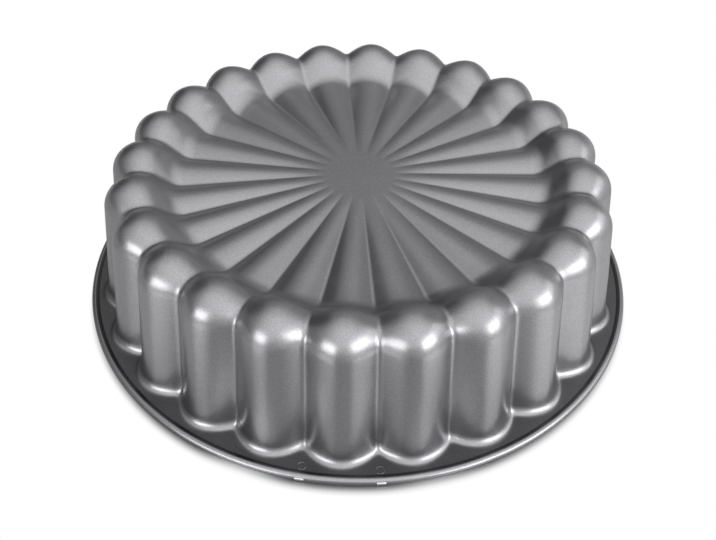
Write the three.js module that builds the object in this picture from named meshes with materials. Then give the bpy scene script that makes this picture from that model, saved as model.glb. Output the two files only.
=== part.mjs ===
// Fluted charlotte mould, one aluminium casting with a sprayed coat on each side.
// Millimetres, +Z up. The mould stands mouth down on z = 0, as it is shown, with its axis on Z.
import * as THREE from 'three';

// Flutes round the wall
const fluteCount = 24;
const facetsPerFlute = 4; // an even number, so that every flute has a crest line of vertices
const valleyFootRadius = 117.2; // valley line between two flutes, where it meets the flange
const fluteDepth = 7.8; // crest line beyond the valley line, at the flange
const valleyDraft = 6.4; // degrees off the vertical
const crestDraft = 7.55;
const footBulge = 0.78; // power of the cosine that a flute's section follows, lower for a fuller flute
const bulgeHeight = 18; // above which the section is the plain cosine

// Flange and rim bead
const flangeWidth = 8.5; // beyond the flute crests
const flangeThickness = 2.2;
const beadWidth = 1.8; // from the rim's edge to the top of its inner slope
const beadRise = 0.6; // above the flange
const beadSlope = 1.8; // run of the inner slope down to the flange
const beadRound = 1.6; // outer edge
const beadInnerRound = 0.3;
const rimChamfer = 0.5; // along the resting edge
const mouthRound = 2; // where the resting face turns up into the mould
const crestFillet = 4; // between the flange and the wall
const valleyFillet = 5;

// Crown, where the wall turns over to the face
const mouldHeight = 66.8;
const crownNotch = 4.8; // valley lines below the tops of the flutes
const crestTopWidth = 18.7; // between the outer and inner corners before they are rounded
const valleyTopWidth = 12.3;
const crestShoulder = 14.2; // outer rounding
const valleyShoulder = 8.4;
const crestLip = 14; // inner rounding
const valleyLip = 11;
const crestWallRun = 9.2; // how far the inner wall slopes in towards the face
const valleyWallRun = 12.2;

// Petalled face
const faceRecess = 10.3; // hub below the tops of the flutes
const petalDepth = 3.6; // valley between two petals, at their outer ends
const faceFillet = 11; // between the inner wall and the petals
const hubRadius = 17;

// Metal and coats
const wallThickness = 3;
const leastRound = 0.5; // left where the wall's thickness takes up a rounding
const roundShare = 0.98; // of an edge, the most that the roundings at its two ends take up
const coatThickness = 0.06;
const liningThickness = 0.06;

// Facets of each rounding
const beadSteps = 2;
const beadInnerSteps = 1;
const filletSteps = 2;
const shoulderSteps = 3;
const lipSteps = 2;
const faceSteps = 2;

const flangeTop = flangeThickness;
const hubHeight = mouldHeight - faceRecess;
const rimRadius = valleyFootRadius + fluteDepth + flangeWidth;

// Where a drafted wall stands at a height above the flange.
function wallRadius(footRadius, draft, height) {
  return footRadius - Math.tan(THREE.MathUtils.degToRad(draft)) * (height - flangeTop);
}

const crest = {
  footRadius: valleyFootRadius + fluteDepth,
  fillet: crestFillet,
  draft: crestDraft,
  top: mouldHeight,
  topWidth: crestTopWidth,
  shoulder: crestShoulder,
  lip: crestLip,
  wallRun: crestWallRun,
  faceHeight: hubHeight,
};
const valley = {
  footRadius: valleyFootRadius,
  fillet: valleyFillet,
  draft: valleyDraft,
  top: mouldHeight - crownNotch,
  topWidth: valleyTopWidth,
  shoulder: valleyShoulder,
  lip: valleyLip,
  wallRun: valleyWallRun,
  faceHeight: hubHeight - petalDepth,
};

function corner(radius, height, round = 0, steps = 0) {
  return { at: new THREE.Vector2(radius, height), round, steps };
}

// Corners of the moulded side along one line, from the flange up over the crown to the axis.
function mouldedCorners(line) {
  const shoulderRadius = wallRadius(line.footRadius, line.draft, line.top);
  const lipRadius = shoulderRadius - line.topWidth;
  return [
    corner(rimRadius - beadWidth - beadSlope, flangeTop),
    corner(line.footRadius, flangeTop, line.fillet, filletSteps),
    corner(shoulderRadius, line.top, line.shoulder, shoulderSteps),
    corner(lipRadius, line.top, line.lip, lipSteps),
    corner(lipRadius - line.wallRun, line.faceHeight, faceFillet, faceSteps),
    corner(hubRadius, hubHeight),
    corner(0, hubHeight),
  ];
}

// The rim, from its resting edge over the bead to the flange.
function rimCorners() {
  const beadTop = flangeTop + beadRise;
  return [
    corner(rimRadius - rimChamfer, 0),
    corner(rimRadius, rimChamfer),
    corner(rimRadius, beadTop, beadRound, beadSteps),
    corner(rimRadius - beadWidth, beadTop, beadInnerRound, beadInnerSteps),
  ];
}

// The air-side normal of an edge that runs from the rim towards the hub.
function edgeNormal(from, to) {
  const along = to.at.clone().sub(from.at).normalize();
  return new THREE.Vector2(along.y, -along.x);
}

// The same corners moved a wall's thickness into the metal, with their roundings to match.
function cavityCorners(corners) {
  const inner = [];
  for (let i = 1; i < corners.length - 1; i += 1) {
    const before = edgeNormal(corners[i - 1], corners[i]);
    const after = edgeNormal(corners[i], corners[i + 1]);
    const shift = before.clone().add(after).multiplyScalar(wallThickness / (1 + before.dot(after)));
    const at = corners[i].at.clone().sub(shift);
    const hollow = before.cross(after) < 0;
    const round = hollow ? corners[i].round + wallThickness : corners[i].round - wallThickness;
    inner.push({
      at,
      round: corners[i].round > 0 ? Math.max(round, leastRound) : 0,
      steps: corners[i].steps,
    });
  }
  inner.push(corner(0, hubHeight - wallThickness));
  return inner;
}

// The cake side along one line, from the resting edge in to the mouth and up to the axis.
function cakeCorners(line) {
  const [, shoulder, ...rest] = cavityCorners(mouldedCorners(line));
  const lean = Math.tan(THREE.MathUtils.degToRad(line.draft));
  const mouthRadius = shoulder.at.x + lean * shoulder.at.y;
  return [
    corner(rimRadius - rimChamfer, 0),
    corner(mouthRadius, 0, mouthRound, filletSteps),
    shoulder,
    ...rest,
  ];
}

// A chain of corners with each rounded corner drawn as an arc. Where two arcs would not both fit on
// the edge between them, they are made smaller together.
function roundedLine(corners) {
  const bends = corners.map((here, i) => {
    if (here.round === 0) {
      return { reach: 0 };
    }
    const back = corners[i - 1].at.clone().sub(here.at).normalize();
    const ahead = corners[i + 1].at.clone().sub(here.at).normalize();
    const half = Math.acos(back.dot(ahead)) / 2;
    return { back, ahead, half, reach: here.round / Math.tan(half) };
  });
  const edgeRoom = corners.map((here, i) => {
    const next = corners[i + 1];
    const wanted = next ? bends[i].reach + bends[i + 1].reach : 0;
    return wanted > 0 ? Math.min(1, roundShare * here.at.distanceTo(next.at) / wanted) : 1;
  });
  const points = [];
  corners.forEach((here, i) => {
    if (here.round === 0) {
      points.push(here.at.clone());
      return;
    }
    const { back, ahead, half, reach } = bends[i];
    const fitted = reach * Math.min(edgeRoom[i - 1], edgeRoom[i]);
    const round = fitted * Math.tan(half);
    const middle = back.clone().add(ahead).normalize();
    const centre = here.at.clone().addScaledVector(middle, round / Math.sin(half));
    const start = here.at.clone().addScaledVector(back, fitted).sub(centre).angle();
    const end = here.at.clone().addScaledVector(ahead, fitted).sub(centre).angle();
    const clockwise = back.cross(ahead) > 0;
    const arc = new THREE.EllipseCurve(centre.x, centre.y, round, round, start, end, clockwise);
    points.push(...arc.getPoints(here.steps));
  });
  return points;
}

// Rings of points from the hub outwards, swept between a crest line and a valley line. Each list
// starts with the single point on the axis.
function sweptRings(crestLine, valleyLine) {
  const count = fluteCount * facetsPerFlute;
  const rings = crestLine.map((onCrest, i) => {
    const ring = [];
    const bulge = THREE.MathUtils.lerp(footBulge, 1, Math.min(onCrest.y / bulgeHeight, 1));
    for (let k = 0; k < count; k += 1) {
      const fullness = Math.abs(Math.cos((Math.PI * k) / facetsPerFlute)) ** bulge;
      const at = valleyLine[i].clone().lerp(onCrest, fullness);
      const turn = (2 * Math.PI * k) / count - Math.PI / 2;
      ring.push(new THREE.Vector3(at.x * Math.cos(turn), at.x * Math.sin(turn), at.y));
    }
    return ring;
  });
  rings.reverse();
  rings[0] = [rings[0][0]];
  return rings;
}

// Triangles of the band between two neighbouring rings, facing up. The first ring may be the point
// on the axis. The diagonals lean the same way on both sides of each crest.
function bandTriangles(hubSide, rimSide, addTriangle) {
  const count = rimSide.length;
  for (let k = 0; k < count; k += 1) {
    const next = (k + 1) % count;
    if (hubSide.length === 1) {
      addTriangle(hubSide[0], rimSide[k], rimSide[next]);
    } else if (k % facetsPerFlute < facetsPerFlute / 2) {
      addTriangle(hubSide[k], rimSide[k], rimSide[next]);
      addTriangle(hubSide[k], rimSide[next], hubSide[next]);
    } else {
      addTriangle(hubSide[k], rimSide[k], hubSide[next]);
      addTriangle(hubSide[next], rimSide[k], rimSide[next]);
    }
  }
}

function sheetTriangles(rings, addTriangle) {
  for (let i = 0; i < rings.length - 1; i += 1) {
    bandTriangles(rings[i], rings[i + 1], addTriangle);
  }
}

// The rings moved off their own surface, along the surface's normals.
function raisedRings(rings, distance) {
  const normals = new Map(rings.flat().map((point) => [point, new THREE.Vector3()]));
  sheetTriangles(rings, (a, b, c) => {
    const facing = b.clone().sub(a).cross(c.clone().sub(a));
    [a, b, c].forEach((point) => normals.get(point).add(facing));
  });
  return rings.map((ring) => ring.map((point) => (
    point.clone().addScaledVector(normals.get(point).normalize(), distance)
  )));
}

// A closed solid between an upper and a lower sheet, joined round their outer edges.
function plateGeometry(upperRings, lowerRings) {
  const points = [...upperRings.flat(), ...lowerRings.flat()];
  const places = new Map(points.map((point, i) => [point, i]));
  const index = [];
  const addUp = (a, b, c) => index.push(places.get(a), places.get(b), places.get(c));
  const addDown = (a, b, c) => addUp(a, c, b);
  sheetTriangles(upperRings, addUp);
  sheetTriangles(lowerRings, addDown);
  bandTriangles(upperRings.at(-1), lowerRings.at(-1), addUp);
  const geometry = new THREE.BufferGeometry().setFromPoints(points);
  geometry.setIndex(index);
  geometry.computeVertexNormals();
  return geometry;
}

function piece(name, geometry, look) {
  const mesh = new THREE.Mesh(geometry, new THREE.MeshStandardMaterial(look));
  mesh.name = name;
  return mesh;
}

const mouldedLines = [crest, valley].map((line) => (
  roundedLine([...rimCorners(), ...mouldedCorners(line)])
));
const cakeLines = [crest, valley].map((line) => roundedLine(cakeCorners(line)));
const mouldedRings = sweptRings(...mouldedLines);
const cakeRings = sweptRings(...cakeLines);

// The rim's chamfer and resting face stay bare, so each coat stops short of them.
const coatedRings = mouldedRings.slice(0, -1);
const linedRings = cakeRings.slice(0, -1 - filletSteps);

const mould = new THREE.Group();
mould.add(piece('cast_shell', plateGeometry(mouldedRings, cakeRings), {
  color: 0xb9bbbe,
  roughness: 0.45,
  metalness: 1,
}));
mould.add(piece('outer_coat', plateGeometry(raisedRings(coatedRings, coatThickness), coatedRings), {
  color: 0x8b8b90,
  roughness: 0.38,
  metalness: 0.9,
}));
mould.add(piece('nonstick_lining', plateGeometry(linedRings, raisedRings(linedRings, -liningThickness)), {
  color: 0x5c5d61,
  roughness: 0.5,
  metalness: 0.4,
}));

export default mould;
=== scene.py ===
from math import acos, atan2, cos, pi, radians, sin, tan
import bmesh
import bpy
from mathutils import Matrix, Vector


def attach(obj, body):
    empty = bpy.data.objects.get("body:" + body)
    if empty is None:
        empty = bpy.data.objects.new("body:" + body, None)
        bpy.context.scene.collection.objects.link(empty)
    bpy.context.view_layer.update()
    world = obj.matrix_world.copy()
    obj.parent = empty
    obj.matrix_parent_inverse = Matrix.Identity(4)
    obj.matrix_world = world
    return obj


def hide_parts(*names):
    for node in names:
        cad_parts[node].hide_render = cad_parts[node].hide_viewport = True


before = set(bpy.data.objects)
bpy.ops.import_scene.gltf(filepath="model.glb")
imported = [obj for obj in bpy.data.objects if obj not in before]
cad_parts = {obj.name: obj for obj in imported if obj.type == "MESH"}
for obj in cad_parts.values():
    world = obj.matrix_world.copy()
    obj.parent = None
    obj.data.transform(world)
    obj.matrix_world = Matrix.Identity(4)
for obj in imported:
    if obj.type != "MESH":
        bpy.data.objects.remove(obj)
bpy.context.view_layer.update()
scene = bpy.context.scene
scene.view_settings.view_transform = "Standard"
mm = 0.001
print("frame loaded, nodes:", ", ".join(sorted(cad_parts)))

# The mould's own sizes, in millimetres, as its solids have them
mould = {
    "flutes": 24,
    "valleyFoot": 117.2,      # radius at the foot of a valley
    "fluteDepth": 7.8,
    "valleyDraft": 6.4,       # degrees
    "crestDraft": 7.55,       # degrees
    "footBulge": 0.78,        # power of the cosine that a flute's section follows, lower for a fuller flute
    "bulgeHeight": 18,        # above which the section is the plain cosine
    "flangeWidth": 8.5,
    "flangeTop": 2.2,
    "beadWidth": 1.8,         # from the rim's edge to the top of its inner slope
    "beadTop": 2.8,
    "beadRound": 1.6,
    "beadInnerRound": 0.3,
    "beadSlope": 1.8,
    "beadFootRound": 0.1,
    "rimChamfer": 0.5,
    "mouthRound": 2,
    "crestFillet": 4,         # between the flange and the wall
    "valleyFillet": 5,
    "height": 66.8,
    "crownNotch": 4.8,
    "crestTopWidth": 18.7,
    "valleyTopWidth": 12.3,
    "crestShoulder": 14.2,
    "valleyShoulder": 8.4,
    "crestLip": 14,
    "valleyLip": 11,
    "crestWallRun": 9.2,
    "valleyWallRun": 12.2,
    "faceRecess": 10.3,
    "petalDepth": 3.6,
    "faceFillet": 11,
    "hubRadius": 17,
    "wall": 3,
    "leastRound": 0.5,
    "roundShare": 0.98,       # of an edge, the most that its two roundings may take
}

# Cuts and small sizes of the pressed sheets
sheet = {
    "stepsPerFlute": 24,
    "crowding": 0.6,          # how far the steps bunch up towards the valleys
    "valleyRound": 0.11,      # share of half a flute that the rounding in its valley takes
    "film": 0.059,            # each coat's thickness, a hair under the solids' 0.06
    "hubRing": 0.5,           # half the width of a flat ring that keeps the hub's edge crisp
    "cakeFewerCuts": 2,       # how many fewer a rounding has on the cake side
    "poleReach": 0.01,        # points of the blank nearer to its middle than this become one
    "weld": 0.002,            # joins the two sides along the resting edge
    "sharpOver": 38,          # degrees
}
hubHeight = mould["height"] - mould["faceRecess"]
crestFoot = mould["valleyFoot"] + mould["fluteDepth"]
rimRadius = crestFoot + mould["flangeWidth"]
beadFoot = rimRadius - mould["beadWidth"] - mould["beadSlope"]

crestLine = {
    "foot": crestFoot,
    "fillet": mould["crestFillet"],
    "draft": mould["crestDraft"],
    "top": mould["height"],
    "width": mould["crestTopWidth"],
    "shoulder": mould["crestShoulder"],
    "lip": mould["crestLip"],
    "run": mould["crestWallRun"],
    "face": hubHeight,
}
valleyLine = {
    "foot": mould["valleyFoot"],
    "fillet": mould["valleyFillet"],
    "draft": mould["valleyDraft"],
    "top": mould["height"] - mould["crownNotch"],
    "width": mould["valleyTopWidth"],
    "shoulder": mould["valleyShoulder"],
    "lip": mould["valleyLip"],
    "run": mould["valleyWallRun"],
    "face": hubHeight - mould["petalDepth"],
}


def wallRadius(foot, draft, height):
    return foot - tan(radians(draft)) * (height - mould["flangeTop"])


# One corner of a profile: where it is, its rounding, and the cuts on the edge before it and on the rounding
def corner(radius, height, turn=0, cuts=1, turnCuts=0):
    return {"at": Vector((radius, height)), "turn": turn, "cuts": cuts, "turnCuts": turnCuts}


def rimCorners():
    chamfer, beadTop = mould["rimChamfer"], mould["beadTop"]
    return [corner(rimRadius - chamfer, 0),
            corner(rimRadius, chamfer, cuts=0),
            corner(rimRadius, beadTop, mould["beadRound"], cuts=0, turnCuts=7),
            corner(rimRadius - mould["beadWidth"], beadTop, mould["beadInnerRound"], cuts=0, turnCuts=2),
            corner(beadFoot, mould["flangeTop"], mould["beadFootRound"], cuts=0, turnCuts=1)]


def faceCorners(line):
    shoulder = wallRadius(line["foot"], line["draft"], line["top"])
    lip = shoulder - line["width"]
    return [corner(line["foot"], mould["flangeTop"], line["fillet"], cuts=2, turnCuts=6),
            corner(shoulder, line["top"], line["shoulder"], cuts=7, turnCuts=11),
            corner(lip, line["top"], line["lip"], cuts=1, turnCuts=8),
            corner(lip - line["run"], line["face"], mould["faceFillet"], cuts=2, turnCuts=5),
            corner(mould["hubRadius"] + sheet["hubRing"], hubHeight, cuts=8),
            corner(mould["hubRadius"] - sheet["hubRing"], hubHeight, cuts=0),
            corner(0, hubHeight, cuts=2)]


# The moulded corners moved a wall's thickness into the metal, with a plain edge at the hub
def cakeCorners(line):
    outer = [corner(beadFoot, mould["flangeTop"])] + faceCorners(line)
    outer[-3] = corner(mould["hubRadius"], hubHeight, cuts=8)
    del outer[-2]
    moved = []
    for before, here, after in zip(outer, outer[1:], outer[2:]):
        alongIn = (here["at"] - before["at"]).normalized()
        alongOut = (after["at"] - here["at"]).normalized()
        faceIn, faceOut = Vector((alongIn.y, -alongIn.x)), Vector((alongOut.y, -alongOut.x))
        at = here["at"] - (faceIn + faceOut) * (mould["wall"] / (1 + faceIn.dot(faceOut)))
        hollow = faceIn.x * faceOut.y - faceIn.y * faceOut.x < 0
        turn = here["turn"] + (mould["wall"] if hollow else -mould["wall"])
        turn = max(turn, mould["leastRound"]) if here["turn"] else 0
        turnCuts = max(here["turnCuts"] - sheet["cakeFewerCuts"], 0)
        moved.append(corner(at.x, at.y, turn, here["cuts"], turnCuts))
    moved.append(corner(0, hubHeight - mould["wall"], cuts=2))
    shoulder = moved[1]
    mouth = shoulder["at"].x + tan(radians(line["draft"])) * shoulder["at"].y
    return [corner(rimRadius - mould["rimChamfer"], 0),
            corner(mouth, 0, mould["mouthRound"], cuts=2, turnCuts=4)] + moved[1:]


# A profile as bands, straight runs and turns, each with its number of cuts
def profileBands(corners):
    bends = []
    for i, here in enumerate(corners):
        if not here["turn"]:
            bends.append({"reach": 0})
            continue
        back = (corners[i - 1]["at"] - here["at"]).normalized()
        ahead = (corners[i + 1]["at"] - here["at"]).normalized()
        half = acos(back.dot(ahead)) / 2
        bends.append({"back": back, "ahead": ahead, "half": half, "reach": here["turn"] / tan(half)})
    room = [1]
    for i in range(len(corners) - 1):
        wanted = bends[i]["reach"] + bends[i + 1]["reach"]
        length = (corners[i + 1]["at"] - corners[i]["at"]).length
        room.append(min(1, mould["roundShare"] * length / wanted) if wanted else 1)
    room.append(1)
    bands = []
    last = corners[0]["at"]
    for i in range(1, len(corners)):
        here, bend = corners[i], bends[i]
        if not here["turn"]:
            bands.append({"from": last, "to": here["at"], "cuts": here["cuts"]})
            last = here["at"]
            continue
        reach = bend["reach"] * min(room[i], room[i + 1])
        start, end = here["at"] + bend["back"] * reach, here["at"] + bend["ahead"] * reach
        size = reach * tan(bend["half"])
        centre = here["at"] + (bend["back"] + bend["ahead"]).normalized() * (size / sin(bend["half"]))
        bands.append({"from": last, "to": start, "cuts": here["cuts"]})
        bands.append({"from": start, "to": end, "centre": centre, "cuts": here["turnCuts"],
                      "sweep": pi - 2 * bend["half"]})
        last = end
    return bands


def pointOn(band, share):
    if "centre" not in band:
        return band["from"].lerp(band["to"], share)
    first, second, sweep = band["from"] - band["centre"], band["to"] - band["centre"], band["sweep"]
    return band["centre"] + (first * sin((1 - share) * sweep) + second * sin(share * sweep)) / sin(sweep)


# How full a flute is across its width, from 0 in the valley to 1 on the crest
def fullness(across, bulge):
    soft = sheet["valleyRound"]
    inwards = 1 - abs(across)
    if inwards < soft:
        inwards = inwards * inwards / (2 * soft) + soft / 2
    lowest = sin(pi * soft / 4) ** bulge
    return (sin(pi * inwards / 2) ** bulge - lowest) / (1 - lowest)


# A flat round blank, spun from a line of stations and then pressed into the flutes
def pressSheet(crestBands, valleyBands):
    bm = bmesh.new()
    count = len(crestBands)
    stations = [bm.verts.new((count - i, 0, 0)) for i in range(count + 1)]
    edges = [bm.edges.new(pair) for pair in zip(stations, stations[1:])]
    for band, edge in zip(crestBands, edges):
        if band["cuts"]:
            bmesh.ops.subdivide_edges(bm, edges=[edge], cuts=band["cuts"])
    bmesh.ops.spin(bm, geom=bm.verts[:] + bm.edges[:], cent=(0, 0, 0), axis=(0, 0, 1), angle=2 * pi,
                   steps=mould["flutes"] * sheet["stepsPerFlute"], use_merge=True)
    pole = [v for v in bm.verts if v.co.length < sheet["poleReach"]]
    bmesh.ops.remove_doubles(bm, verts=pole, dist=2 * sheet["poleReach"])
    pitch = 2 * pi / mould["flutes"]
    for v in bm.verts:
        station = max(count - v.co.length, 0)
        index = min(int(station), count - 1)
        onCrest = pointOn(crestBands[index], station - index)
        onValley = pointOn(valleyBands[index], station - index)
        turn = (atan2(v.co.y, v.co.x) + pi / 2) / pitch
        flute = round(turn)
        across = 2 * (turn - flute)
        across += sheet["crowding"] * (sin(pi * across / 2) - across)
        rise = min(onCrest.y / mould["bulgeHeight"], 1)
        bulge = mould["footBulge"] + (1 - mould["footBulge"]) * rise
        at = onValley.lerp(onCrest, fullness(across, bulge)) * mm
        angle = (flute + across / 2) * pitch - pi / 2
        v.co = (at.x * cos(angle), at.x * sin(angle), at.y)
    return bm


def joinInto(bm, other):
    mesh = bpy.data.meshes.new("joined")
    other.to_mesh(mesh)
    other.free()
    bm.from_mesh(mesh)
    bpy.data.meshes.remove(mesh)


# Faces turned so that the one over or under the hub points up or down
def faceTheHub(bm, up):
    bmesh.ops.recalc_face_normals(bm, faces=bm.faces[:])
    hub = min(bm.faces, key=lambda f: f.calc_center_median().xy.length)
    if (hub.normal.z > 0) != up:
        bmesh.ops.reverse_faces(bm, faces=bm.faces[:])


def makePiece(name, bm, material, node):
    for f in bm.faces:
        f.smooth = True
    for e in bm.edges:
        if len(e.link_faces) == 2 and e.calc_face_angle() > radians(sheet["sharpOver"]):
            e.smooth = False
    mesh = bpy.data.meshes.new(name)
    bm.to_mesh(mesh)
    bm.free()
    mesh.materials.append(material)
    piece = bpy.data.objects.new(name, mesh)
    scene.collection.objects.link(piece)
    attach(piece, "root")
    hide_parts(node)
    print(name, "made,", sum(len(p.vertices) - 2 for p in mesh.polygons), "triangles")


# Fine grain that all three finishes share: flecks, broad mottling, and a height for bump
castGrain = {
    "fleck": {"detail": 2, "rough": 0.6},
    "mottle": {"detail": 4, "rough": 0.55},
    "peel": {"detail": 2, "rough": 0.5},
    "fleckHeight": 0.35,      # next to the peel's
}


def buildGrain():
    group = bpy.data.node_groups.new("castGrain", "ShaderNodeTree")
    for label in ("Fleck Scale", "Mottle Scale", "Peel Scale"):
        group.interface.new_socket(label, in_out="INPUT", socket_type="NodeSocketFloat")
    for label in ("Fleck", "Mottle", "Height"):
        group.interface.new_socket(label, in_out="OUTPUT", socket_type="NodeSocketFloat")
    nodes, links = group.nodes, group.links
    inputs, outputs = nodes.new("NodeGroupInput"), nodes.new("NodeGroupOutput")
    place = nodes.new("ShaderNodeTexCoord")

    def noise(scaleFrom, look):
        node = nodes.new("ShaderNodeTexNoise")
        node.inputs["Detail"].default_value = look["detail"]
        node.inputs["Roughness"].default_value = look["rough"]
        links.new(place.outputs["Object"], node.inputs["Vector"])
        links.new(inputs.outputs[scaleFrom], node.inputs["Scale"])
        return node.outputs["Fac"]

    fleck = noise("Fleck Scale", castGrain["fleck"])
    mottle = noise("Mottle Scale", castGrain["mottle"])
    peel = noise("Peel Scale", castGrain["peel"])
    height = nodes.new("ShaderNodeMath")
    height.operation = "MULTIPLY_ADD"
    height.inputs[1].default_value = castGrain["fleckHeight"]
    links.new(fleck, height.inputs[0])
    links.new(peel, height.inputs[2])
    links.new(fleck, outputs.inputs["Fleck"])
    links.new(mottle, outputs.inputs["Mottle"])
    links.new(height.outputs[0], outputs.inputs["Height"])
    return group


grainGroup = buildGrain()


def startMaterial(name, look):
    material = bpy.data.materials.new(name)
    material.use_nodes = True
    nodes, links = material.node_tree.nodes, material.node_tree.links
    shader = nodes["Principled BSDF"]
    shader.inputs["Metallic"].default_value = look["metallic"]
    grain = nodes.new("ShaderNodeGroup")
    grain.node_tree = grainGroup
    grain.inputs["Fleck Scale"].default_value = look["fleckScale"]
    grain.inputs["Mottle Scale"].default_value = look["mottleScale"]
    grain.inputs["Peel Scale"].default_value = look["peelScale"]
    return material, nodes, links, shader, grain


def blendColours(nodes, links, factor, low, high, lowAt=0.3, highAt=0.7):
    ramp = nodes.new("ShaderNodeValToRGB")
    ramp.color_ramp.elements[0].position = lowAt
    ramp.color_ramp.elements[0].color = (*low, 1)
    ramp.color_ramp.elements[1].position = highAt
    ramp.color_ramp.elements[1].color = (*high, 1)
    links.new(factor, ramp.inputs["Fac"])
    return ramp.outputs["Color"]


def spread(nodes, links, factor, low, high, fromLow=0.3, fromHigh=0.7, soft=False):
    node = nodes.new("ShaderNodeMapRange")
    node.interpolation_type = "SMOOTHSTEP" if soft else "LINEAR"
    node.inputs["From Min"].default_value = fromLow
    node.inputs["From Max"].default_value = fromHigh
    node.inputs["To Min"].default_value = low
    node.inputs["To Max"].default_value = high
    links.new(factor, node.inputs["Value"])
    return node.outputs["Result"]


def combine(nodes, links, operation, first, second):
    node = nodes.new("ShaderNodeMath")
    node.operation = operation
    links.new(first, node.inputs[0])
    links.new(second, node.inputs[1])
    return node.outputs[0]


def absolute(nodes, links, value):
    node = nodes.new("ShaderNodeMath")
    node.operation = "ABSOLUTE"
    links.new(value, node.inputs[0])
    return node.outputs[0]


def vectorNode(nodes, links, operation, first, second=(0, 0, 0)):
    node = nodes.new("ShaderNodeVectorMath")
    node.operation = operation
    links.new(first, node.inputs[0])
    node.inputs[1].default_value = second
    return node


def addBump(nodes, links, height, shader, look):
    bump = nodes.new("ShaderNodeBump")
    bump.inputs["Strength"].default_value = look["bump"]
    bump.inputs["Distance"].default_value = look["bumpDepth"]
    links.new(height, bump.inputs["Height"])
    links.new(bump.outputs["Normal"], shader.inputs["Normal"])


# Silver coat with painted shade: darker on the flange at the foot of the walls and darkest in the crease
# inside the bead; its places are in metres
silverCoat = {
    "dark": (0.255, 0.255, 0.266),
    "light": (0.345, 0.345, 0.36),
    "metallic": 0.97,
    "rough": (0.29, 0.36),
    # painted shade on the flange below the flange heights, and none on the bead past the flange edge
    "flangePaintedShade": 0.36,
    "flangeHeights": (0.00226, 0.0027),
    "flangeEdge": (0.1312, 0.1318),
    # painted shade in the crease inside the bead
    "creasePaintedShade": 0.2,
    "creaseAt": (0.1296, 0.1302),
    "gloss": 0.15,
    "glossRough": 0.18,
    "fleckScale": 1900,
    "mottleScale": 45,
    "peelScale": 500,
    "bump": 0.25,
    "bumpDepth": 0.00003,
}


def silverMaterial():
    look = silverCoat
    material, nodes, links, shader, grain = startMaterial("silverCoat", look)
    shader.inputs["Coat Weight"].default_value = look["gloss"]
    shader.inputs["Coat Roughness"].default_value = look["glossRough"]
    place, parts = nodes.new("ShaderNodeTexCoord"), nodes.new("ShaderNodeSeparateXYZ")
    links.new(place.outputs["Object"], parts.inputs[0])
    flat = vectorNode(nodes, links, "MULTIPLY", place.outputs["Object"], (1, 1, 0))
    out = vectorNode(nodes, links, "LENGTH", flat.outputs[0]).outputs["Value"]
    # painted shade: the coat's colour is darkened on the flange and most in the crease inside the bead, but
    # not on the bead itself
    above = spread(nodes, links, parts.outputs["Z"], look["flangePaintedShade"], 1, *look["flangeHeights"],
                   soft=True)
    beyond = spread(nodes, links, out, 0, 1, *look["flangeEdge"])
    crease = spread(nodes, links, out, 1, look["creasePaintedShade"], *look["creaseAt"])
    within = combine(nodes, links, "MULTIPLY", above, crease)
    flecks = blendColours(nodes, links, grain.outputs["Fleck"], look["dark"], look["light"])
    shade = vectorNode(nodes, links, "SCALE", flecks)
    links.new(combine(nodes, links, "MAXIMUM", within, beyond), shade.inputs["Scale"])
    links.new(shade.outputs[0], shader.inputs["Base Color"])
    links.new(spread(nodes, links, grain.outputs["Mottle"], *look["rough"]), shader.inputs["Roughness"])
    addBump(nodes, links, grain.outputs["Height"], shader, look)
    return material


bareMetal = {
    "dark": (0.60, 0.61, 0.62),
    "light": (0.78, 0.79, 0.80),
    "metallic": 1,
    "rough": (0.34, 0.5),
    "fleckScale": 900,
    "mottleScale": 120,
    "peelScale": 420,
    "bump": 0.3,
    "bumpDepth": 0.00003,
}


def bareMaterial():
    look = bareMetal
    material, nodes, links, shader, grain = startMaterial("bareAluminium", look)
    links.new(blendColours(nodes, links, grain.outputs["Mottle"], look["dark"], look["light"]),
              shader.inputs["Base Color"])
    links.new(spread(nodes, links, grain.outputs["Fleck"], *look["rough"]), shader.inputs["Roughness"])
    addBump(nodes, links, grain.outputs["Height"], shader, look)
    return material


nonStick = {
    "dark": (0.035, 0.035, 0.037),
    "light": (0.06, 0.06, 0.063),
    "metallic": 0,
    "rough": (0.36, 0.5),
    "fleckScale": 1300,
    "mottleScale": 35,
    "peelScale": 700,
    "bump": 0.35,
    "bumpDepth": 0.00004,
}


def nonStickMaterial():
    look = nonStick
    material, nodes, links, shader, grain = startMaterial("nonStickLining", look)
    links.new(blendColours(nodes, links, grain.outputs["Fleck"], look["dark"], look["light"]),
              shader.inputs["Base Color"])
    links.new(spread(nodes, links, grain.outputs["Mottle"], *look["rough"]), shader.inputs["Roughness"])
    addBump(nodes, links, grain.outputs["Height"], shader, look)
    return material


# The bands of both sides, along a crest and along a valley
mouldedCrest = profileBands(rimCorners() + faceCorners(crestLine))
mouldedValley = profileBands(rimCorners() + faceCorners(valleyLine))
cakeCrest = profileBands(cakeCorners(crestLine))
cakeValley = profileBands(cakeCorners(valleyLine))


# Ejector pin marks on the flange: thin raised rings
ejectorMark = {
    "angles": (-6.8, 7.6),    # degrees from the front flute
    "atRadius": 127.8,
    "radius": 1.75,
    "wire": 0.24,
    "wireSides": 10,
    "rise": 0.2,
    "steps": 32,
}


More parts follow.
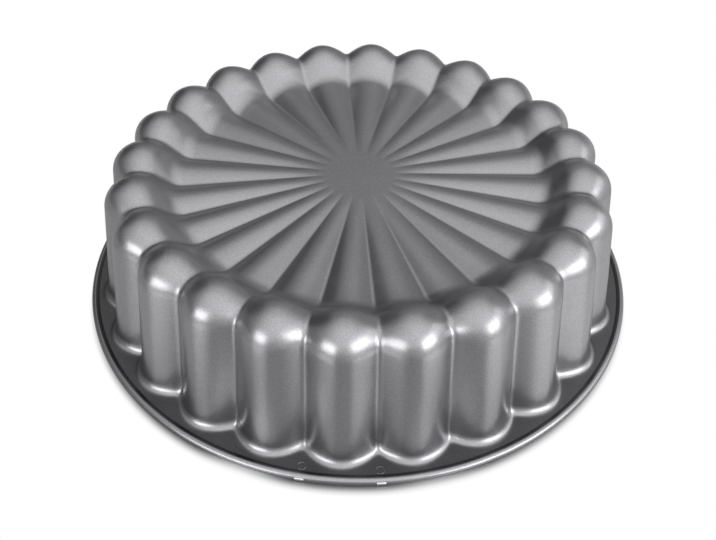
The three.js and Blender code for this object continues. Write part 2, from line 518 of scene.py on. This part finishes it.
def ejectorMarkAt(angle):
    bm = bmesh.new()
    bmesh.ops.create_circle(bm, segments=ejectorMark["wireSides"], radius=0.5)
    bmesh.ops.scale(bm, vec=(ejectorMark["wire"] * mm, 2 * ejectorMark["rise"] * mm, 1), verts=bm.verts[:])
    bmesh.ops.rotate(bm, cent=(0, 0, 0), matrix=Matrix.Rotation(pi / 2, 3, "X"), verts=bm.verts[:])
    bmesh.ops.translate(bm, vec=(ejectorMark["radius"] * mm, 0, 0), verts=bm.verts[:])
    bmesh.ops.spin(bm, geom=bm.verts[:] + bm.edges[:], cent=(0, 0, 0), axis=(0, 0, 1), angle=2 * pi,
                   steps=ejectorMark["steps"], use_merge=True)
    turn = radians(angle) - pi / 2
    reach = ejectorMark["atRadius"] * mm
    coatTop = (mould["flangeTop"] + sheet["film"]) * mm
    bmesh.ops.translate(bm, vec=(reach * cos(turn), reach * sin(turn), coatTop), verts=bm.verts[:])
    return bm


# Trimmed gate stubs on the rim's edge, below the marks
gateStub = {
    "width": 4.4,
    "depth": 1.2,
    "height": 1.8,
    "atHeight": 1.35,
    "proud": 0.28,
    "taper": 0.86,            # the outer end's width next to the inner end's
    "topSlope": 0.5,          # how far the top falls and the bottom rises towards the outer end
    "bottomSlope": 0.1,
    "bevel": 0.25,
    "bevelSteps": 3,
}


def gateStubAt(angle):
    bm = bmesh.new()
    bmesh.ops.create_cube(bm, size=1)
    bmesh.ops.scale(bm, vec=(gateStub["width"] * mm, gateStub["depth"] * mm, gateStub["height"] * mm),
                    verts=bm.verts[:])
    front = [v for v in bm.verts if v.co.y < 0]
    for v in front:
        v.co.x *= gateStub["taper"]
        v.co.z += (-gateStub["topSlope"] if v.co.z > 0 else gateStub["bottomSlope"]) * mm
    edges = list({e for v in front for e in v.link_edges})
    bmesh.ops.bevel(bm, geom=edges, offset=gateStub["bevel"] * mm, affect="EDGES",
                    segments=gateStub["bevelSteps"], profile=0.5, material=-1, clamp_overlap=True)
    reach = rimRadius + gateStub["proud"] - gateStub["depth"] / 2
    bmesh.ops.translate(bm, vec=(0, -reach * mm, gateStub["atHeight"] * mm), verts=bm.verts[:])
    bmesh.ops.rotate(bm, cent=(0, 0, 0), matrix=Matrix.Rotation(radians(angle), 3, "Z"), verts=bm.verts[:])
    return bm


# Cast shell: both sides pressed, closed along the resting edge, with the bare gate stubs
def buildCasting():
    bm = pressSheet(mouldedCrest, mouldedValley)
    joinInto(bm, pressSheet(cakeCrest, cakeValley))
    bmesh.ops.remove_doubles(bm, verts=bm.verts[:], dist=sheet["weld"] * mm)
    for angle in ejectorMark["angles"]:
        joinInto(bm, gateStubAt(angle))
    bmesh.ops.recalc_face_normals(bm, faces=bm.faces[:])
    makePiece("castShell", bm, bareMaterial(), "cast_shell")


# Outer coat: a film on the moulded side, from the rim's chamfer to the hub, with the pin marks on it
def buildCoat():
    bm = pressSheet(mouldedCrest[1:], mouldedValley[1:])
    faceTheHub(bm, True)
    bmesh.ops.solidify(bm, geom=bm.faces[:], thickness=-sheet["film"] * mm)
    for angle in ejectorMark["angles"]:
        joinInto(bm, ejectorMarkAt(angle))
    bmesh.ops.recalc_face_normals(bm, faces=bm.faces[:])
    makePiece("outerCoat", bm, silverMaterial(), "outer_coat")


# Release lining: a film on the cake side, from the mouth's rounding up
def buildLining():
    bm = pressSheet(cakeCrest[2:], cakeValley[2:])
    faceTheHub(bm, False)
    bmesh.ops.solidify(bm, geom=bm.faces[:], thickness=-sheet["film"] * mm)
    bmesh.ops.recalc_face_normals(bm, faces=bm.faces[:])
    makePiece("nonStickLining", bm, nonStickMaterial(), "nonstick_lining")


buildCasting()
buildCoat()
buildLining()


# A direction from the mould: degrees to the right of the front flute, and degrees up
def towards(side, rise):
    side, rise = radians(side), radians(rise)
    return Vector((cos(rise) * sin(side), -cos(rise) * cos(side), sin(rise)))


# Camera at the photograph's angle
view = {
    "distance": 0.4462,
    "azimuth": 3.05,
    "elevation": 42.3,
    "roll": 0.83,
    "lens": 43.41,
    "sensor": 36,
    "shiftX": -0.0006,
    "shiftY": -0.01,
    "clipStart": 0.01,
}


def addCamera():
    data = bpy.data.cameras.new("camera")
    data.sensor_fit = "HORIZONTAL"
    data.sensor_width = view["sensor"]
    data.lens = view["lens"]
    data.shift_x, data.shift_y = view["shiftX"], view["shiftY"]
    data.clip_start = view["clipStart"]
    camera = bpy.data.objects.new("camera", data)
    place = towards(view["azimuth"], view["elevation"]) * view["distance"]
    aim = (-place).to_track_quat("-Z", "Y").to_matrix() @ Matrix.Rotation(radians(view["roll"]), 3, "Z")
    camera.matrix_world = Matrix.Translation(place) @ aim.to_4x4()
    scene.collection.objects.link(camera)
    scene.camera = camera


addCamera()

# Studio lights: two soft boxes in front, a dimmer panel at each side and a faint one behind
studioLights = {
    "leftBox": {"azimuth": -38, "elevation": 17, "distance": 1.0, "size": (0.65, 0.44), "glow": 3.9},
    "rightBox": {"azimuth": 54, "elevation": 22, "distance": 1.0, "size": (0.75, 0.48), "glow": 3.9},
    "leftPanel": {"azimuth": -88, "elevation": 27, "distance": 1.0, "size": (0.7, 0.45), "glow": 0.2},
    "rightPanel": {"azimuth": 92, "elevation": 27, "distance": 1.0, "size": (0.7, 0.45), "glow": 1.4},
    "backPanel": {"azimuth": 182, "elevation": 44, "distance": 1.4, "size": (1.3, 1.2), "glow": 0.19},
}
lightsAimAt = Vector((0, 0, 0.04))


def addLight(name, light):
    width, height = light["size"]
    data = bpy.data.lights.new(name, "AREA")
    data.shape = "RECTANGLE"
    data.size, data.size_y = width, height
    data.energy = light["glow"] * pi * width * height
    panel = bpy.data.objects.new(name, data)
    place = towards(light["azimuth"], light["elevation"]) * light["distance"] + lightsAimAt
    aim = (lightsAimAt - place).to_track_quat("-Z", "Y").to_matrix()
    panel.matrix_world = Matrix.Translation(place) @ aim.to_4x4()
    scene.collection.objects.link(panel)


for name, light in studioLights.items():
    addLight(name, light)

# Room round the mould: a dim grey, a bright ceiling and a paler horizon; the camera sees it white
studioRoom = {
    "front": 0.32,
    "back": 0.36,
    "leftShare": 0.2,
    "rightShare": 1.1,
    "fades": (-0.6, 0.6),
    "ceiling": {"towards": (0.08, -0.39, 0.917), "fades": (0.2, 1.05), "glow": 1.35},
    "horizon": {"front": 0.05, "sides": 0.65, "sideFades": (0.3, 0.9), "back": 0.5, "backFades": (0.1, 0.8),
                "heights": (0.45, 0.05)},
}


def addRoom():
    world = bpy.data.worlds.new("room")
    scene.world = world
    world.use_nodes = True
    nodes, links = world.node_tree.nodes, world.node_tree.links
    background = nodes["Background"]
    background.inputs["Color"].default_value = (1, 1, 1, 1)
    place, parts = nodes.new("ShaderNodeTexCoord"), nodes.new("ShaderNodeSeparateXYZ")
    links.new(place.outputs["Generated"], parts.inputs[0])
    across, along, up = parts.outputs["X"], parts.outputs["Y"], parts.outputs["Z"]
    grey = spread(nodes, links, along, studioRoom["front"], studioRoom["back"], *studioRoom["fades"])
    share = spread(nodes, links, across, studioRoom["leftShare"], studioRoom["rightShare"],
                   *studioRoom["fades"])
    grey = combine(nodes, links, "MULTIPLY", grey, share)
    ceiling = studioRoom["ceiling"]
    upwards = vectorNode(nodes, links, "DOT_PRODUCT", place.outputs["Generated"], ceiling["towards"])
    above = spread(nodes, links, upwards.outputs["Value"], 0, ceiling["glow"], *ceiling["fades"], soft=True)
    horizon = studioRoom["horizon"]
    aside = absolute(nodes, links, across)
    glow = spread(nodes, links, aside, horizon["front"], horizon["sides"], *horizon["sideFades"])
    behind = spread(nodes, links, along, 1, horizon["back"], *horizon["backFades"])
    glow = combine(nodes, links, "MULTIPLY", combine(nodes, links, "MULTIPLY", glow, behind), share)
    low = spread(nodes, links, up, 0, 1, *horizon["heights"], soft=True)
    low = combine(nodes, links, "MULTIPLY", low, glow)
    strength = combine(nodes, links, "ADD", combine(nodes, links, "ADD", grey, above), low)
    path = nodes.new("ShaderNodeLightPath")
    strength = combine(nodes, links, "MAXIMUM", strength, path.outputs["Is Camera Ray"])
    links.new(strength, background.inputs["Strength"])


addRoom()

# Floor under the rim, in metres: the camera sees it white past the shadow, the metal sees its painted
# shade, painted contact shadow and painted pools of light
floorSheet = {
    "halfSize": 4,
    "squares": 8,
    "drop": 0.00005,              # below the rim
    "paintedShades": (0.22, 0.5),        # painted shade straight in front and behind, painted light out to both sides
    "paintedShadesAt": (0.065, 0.13),
    "contactShadow": (0.25, 1),         # painted contact shadow, darker next to the rim
    "contactShadowAt": (0.1345, 0.137),
    # painted pools of light on the floor, where the flanks of the front flutes reflect it
    "paintedPools": ({"at": (-0.043, -0.137, 0), "pale": 0.5}, {"at": (0.043, -0.136, 0), "pale": 0.25}),
    "poolFades": (0.002, 0.026),  # from each painted pool of light
    "rough": 0.2,
    "gloss": 2.3,                 # refractive index of its varnish
    "shadow": (0.1288, 0.1343),   # the shadow's edge fades to plain white between these radii
    "shadowForward": 0.0047,      # and reaches further at the front
    "farWhite": (0.5, 1.5),       # where the metal sees the floor turn white
}


def floorMaterial():
    material = bpy.data.materials.new("paleFloor")
    material.use_nodes = True
    nodes, links = material.node_tree.nodes, material.node_tree.links
    shader, output = nodes["Principled BSDF"], nodes["Material Output"]
    shader.inputs["Roughness"].default_value = floorSheet["rough"]
    shader.inputs["IOR"].default_value = floorSheet["gloss"]
    white = nodes.new("ShaderNodeEmission")
    path, place = nodes.new("ShaderNodeLightPath"), nodes.new("ShaderNodeTexCoord")
    parts = nodes.new("ShaderNodeSeparateXYZ")
    links.new(place.outputs["Object"], parts.inputs[0])
    # painted shade in front and behind and painted light to the sides, for the metal to reflect
    aside = absolute(nodes, links, parts.outputs["X"])
    shade = spread(nodes, links, aside, *floorSheet["paintedShades"], *floorSheet["paintedShadesAt"], soft=True)
    out = vectorNode(nodes, links, "LENGTH", place.outputs["Object"]).outputs["Value"]
    far = spread(nodes, links, out, 0, 1, *floorSheet["farWhite"])
    # painted contact shadow round the rim
    contactShadow = spread(nodes, links, out, *floorSheet["contactShadow"], *floorSheet["contactShadowAt"], soft=True)
    shade = combine(nodes, links, "MULTIPLY", shade, contactShadow)
    # painted pools of light added to the floor's colour
    for spot in floorSheet["paintedPools"]:
        away = vectorNode(nodes, links, "DISTANCE", place.outputs["Object"], spot["at"]).outputs["Value"]
        pale = spread(nodes, links, away, spot["pale"], 0, *floorSheet["poolFades"], soft=True)
        shade = combine(nodes, links, "ADD", shade, pale)
    links.new(shade, shader.inputs["Base Color"])
    moved = vectorNode(nodes, links, "ADD", place.outputs["Object"], (0, floorSheet["shadowForward"], 0))
    movedOut = vectorNode(nodes, links, "LENGTH", moved.outputs[0]).outputs["Value"]
    lit = spread(nodes, links, movedOut, 0, 1, *floorSheet["shadow"], soft=True)
    seen = combine(nodes, links, "MULTIPLY", path.outputs["Is Camera Ray"], lit)
    mirrored = combine(nodes, links, "MAXIMUM", path.outputs["Is Glossy Ray"],
                       path.outputs["Is Transmission Ray"])
    mirrored = combine(nodes, links, "MULTIPLY", mirrored, far)
    mix = nodes.new("ShaderNodeMixShader")
    links.new(combine(nodes, links, "MAXIMUM", seen, mirrored), mix.inputs["Fac"])
    links.new(shader.outputs[0], mix.inputs[1])
    links.new(white.outputs[0], mix.inputs[2])
    links.new(mix.outputs[0], output.inputs["Surface"])
    return material


def addFloor():
    bm = bmesh.new()
    bmesh.ops.create_grid(bm, x_segments=floorSheet["squares"], y_segments=floorSheet["squares"],
                          size=floorSheet["halfSize"])
    bmesh.ops.translate(bm, vec=(0, 0, -floorSheet["drop"]), verts=bm.verts[:])
    mesh = bpy.data.meshes.new("floor")
    bm.to_mesh(mesh)
    bm.free()
    mesh.materials.append(floorMaterial())
    floor = bpy.data.objects.new("floor", mesh)
    scene.collection.objects.link(floor)


addFloor()
print("camera, lights and floor set")
